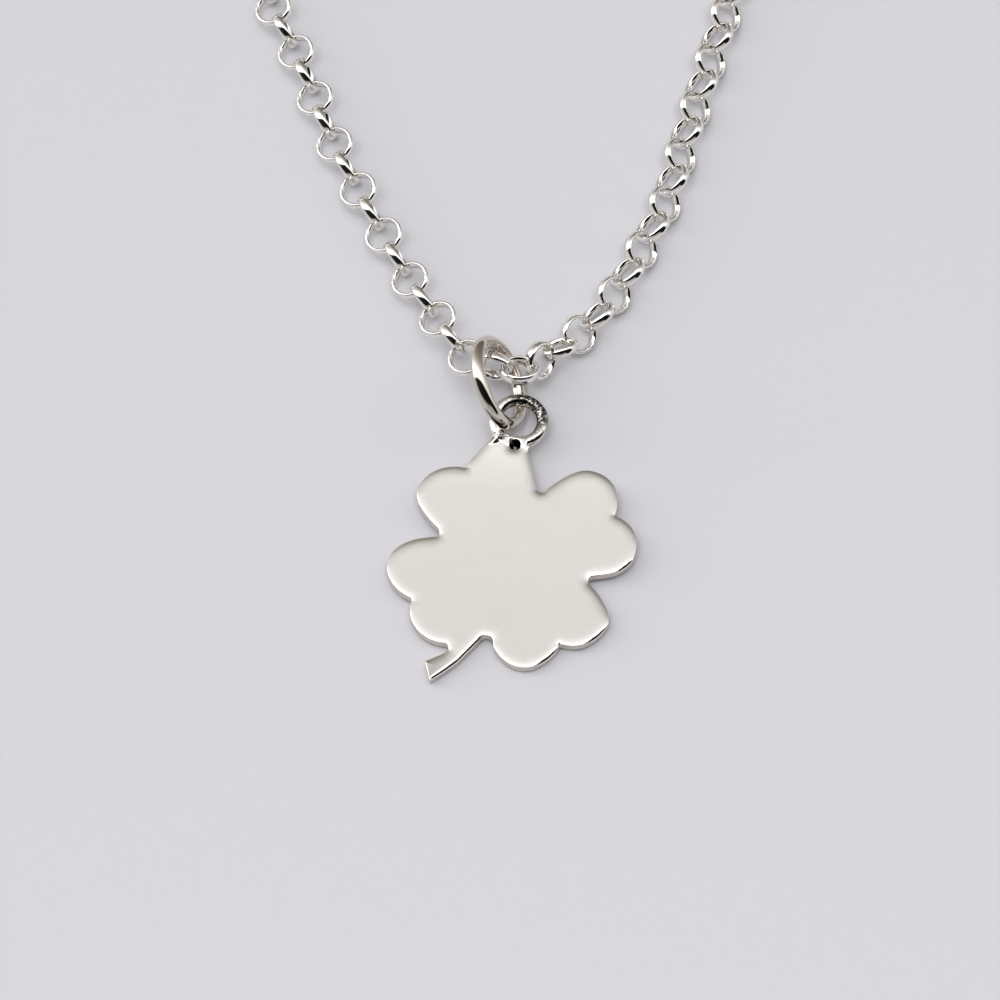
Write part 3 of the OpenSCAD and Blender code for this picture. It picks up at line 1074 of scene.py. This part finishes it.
@dataclass(frozen=True)
class Studio:
    """The pale surface, the soft light and the camera.

    The sky is a white tent open towards the camera, brightest overhead just behind its edge and greyer
    towards the back wall. Its opening is black. Low down beyond the opening the room is pale, but for a
    black sheet at the right.
    """

    surface_colour: str = "BCBBBF"
    surface_reach: float = 0.9
    surface_roughness: float = 0.85
    surface_gloss: float = 0.1
    camera_tilt: float = 31.0
    camera_distance: float = 0.3775
    lens: float = 180.0
    sensor: float = 36.0
    nearest: float = 0.01
    edge_plane: Triple = (0.03, 0.98, 0.20)
    strongest: float = 2.6
    left_gain: float = 1.6
    right_gain: float = 0.4
    fill_place: Triple = (-0.05, -0.5, 1.1)
    fill_size: float = 0.7
    fill_power: float = 8.5
    room_radiance: float = 0.5
    room_colour: str = "FFFFFF"
    room_top: Pair = (0.44, 0.26)
    room_edge: Pair = (0.02, -0.04)
    black_sheet: Triple = (0.86, -0.35, 0.36)
    black_sheet_edge: Pair = (0.93, 0.89)
    bands: tuple[SkyBand, ...] = (
        SkyBand(-0.05, 0.012),
        SkyBand(0.03, 1.8),
        SkyBand(0.15, 2.6),
        SkyBand(0.32, 2.3),
        SkyBand(0.45, 1.25),
        SkyBand(0.60, 0.72, "FFFFFE"),
        SkyBand(0.76, 0.42, "FFFAF2"),
        SkyBand(1.00, 0.20, "FFF1E2"),
    )

    def build_surface(self) -> None:
        """Lays the pale surface under the necklace."""
        mesh = bpy.data.meshes.new("pale_surface")
        reach = self.surface_reach
        corners = [(-reach, -reach, 0), (reach, -reach, 0), (reach, reach, 0), (-reach, reach, 0)]
        mesh.from_pydata(corners, [], [(0, 1, 2, 3)])
        made = bpy.data.materials.new("matt_white_card")
        made.use_nodes = True
        shader = made.node_tree.nodes["Principled BSDF"]
        shader.inputs["Base Color"].default_value = linear(self.surface_colour)
        shader.inputs["Roughness"].default_value = self.surface_roughness
        shader.inputs["Specular IOR Level"].default_value = self.surface_gloss
        mesh.materials.append(made)
        add_object("pale_surface", mesh)

    def light(self) -> None:
        """Lights the scene with the tent, as the world's colour over directions."""
        world = bpy.data.worlds.new("studio_tent")
        world.use_nodes = True
        tree = world.node_tree
        tree.nodes.clear()
        bpy.context.scene.world = world
        towards = add_node(tree, "TexCoord", {}, "Generated")
        sideways = add_node(tree, "SeparateXYZ", {0: towards}).node.outputs
        height, sheet = (
            add_node(tree, "VectorMath", {0: towards, 1: line}, "Value", operation="DOT_PRODUCT")
            for line in (self.edge_plane, self.black_sheet)
        )
        first, last = self.bands[0].share, self.bands[-1].share
        share = add_node(tree, "MapRange", {"Value": height, "From Min": first, "From Max": last})
        ramp = add_node(tree, "ValToRGB", {"Fac": share})
        stops = ramp.node.color_ramp.elements
        while len(stops) < len(self.bands):
            stops.new(0.5)
        for stop, band in zip(stops, self.bands):
            stop.position = (band.share - first) / (last - first)
            level = band.radiance / self.strongest
            stop.color = tuple(level * channel for channel in linear(band.colour)[:3]) + (1.0,)
        left, right = self.left_gain * self.strongest, self.right_gain * self.strongest
        sides = {"Value": sideways["X"], "From Min": -1.0, "From Max": 1.0, "To Min": left, "To Max": right}
        glow = add_node(tree, "Background", {"Color": ramp, "Strength": add_node(tree, "MapRange", sides)})
        spans = ((sideways["Z"], self.room_top), (sheet, self.black_sheet_edge), (height, self.room_edge))
        shown = 1.0
        for value, (none, full) in spans:
            part = falling(tree, value, full, none)
            shown = add_node(tree, "Math", {0: shown, 1: part}, operation="MULTIPLY")
        room = {"Color": linear(self.room_colour), "Strength": self.room_radiance}
        sky = add_node(tree, "MixShader", {"Fac": shown, 1: glow, 2: add_node(tree, "Background", room)})
        add_node(tree, "OutputWorld", {"Surface": sky})

    def fill(self) -> None:
        """Adds a soft lamp overhead that lifts the shadows and that the metal doesn't mirror."""
        lamp = bpy.data.lights.new("overhead_fill", "AREA")
        lamp.size = self.fill_size
        lamp.energy = self.fill_power
        held = add_object("overhead_fill", lamp)
        held.location = self.fill_place
        held.rotation_euler = Vector(self.fill_place).to_track_quat("Z", "Y").to_euler()
        held.visible_glossy = False

    def place_camera(self) -> None:
        """Puts the camera where the photograph was taken from."""
        camera = bpy.data.cameras.new("camera")
        camera.lens = self.lens
        camera.sensor_width = self.sensor
        camera.clip_start = self.nearest
        seen_from = add_object("camera", camera)
        tilt = math.radians(self.camera_tilt)
        backwards = np.array([0, -math.sin(tilt), math.cos(tilt)])
        seen_from.location = PLAN_SHIFT * MM + backwards * self.camera_distance
        seen_from.rotation_euler = (tilt, 0, 0)
        bpy.context.scene.camera = seen_from
        bpy.context.scene.view_settings.view_transform = "Standard"


def main() -> None:
    """Builds the necklace piece by piece, dresses it and sets the studio up."""
    logging.basicConfig(level=logging.INFO, format="%(name)s: %(message)s")
    studio = Studio()
    studio.place_camera()
    studio.build_surface()
    studio.light()
    studio.fill()

    # The ring's darker beige tint is painted shade, for the chain and the shadowed surface that it mirrors.
    ring_silver = PolishedSilver(
        "buffed_sterling_wire_shaded", tint="DED7CD", worn_tint="CEC6BB", roughness=0.06
    ).material()
    chain_silver = PolishedSilver("tumbled_sterling_links", roughness=0.07).material()

    charm = CloverCharm()
    hole, loop = charm.marks()
    charm_silver = CharmSilver("buffed_sterling_plate", hole=hole, loop=loop).material()
    dress(charm.build(), Piece.CLOVER, charm_silver)
    dress(JumpRing().build(charm), Piece.JUMP_RING, ring_silver)
    necklace = Necklace()
    halves = np.array_split(np.arange(necklace.count), 2)
    for piece, links in zip((Piece.CHAIN_LEFT, Piece.CHAIN_RIGHT), halves):
        dress(necklace.build_half(piece, links), piece, chain_silver)
    dress(necklace.build_clasp(), Piece.CLASP, ring_silver)


if __name__ == "__main__":
    main()
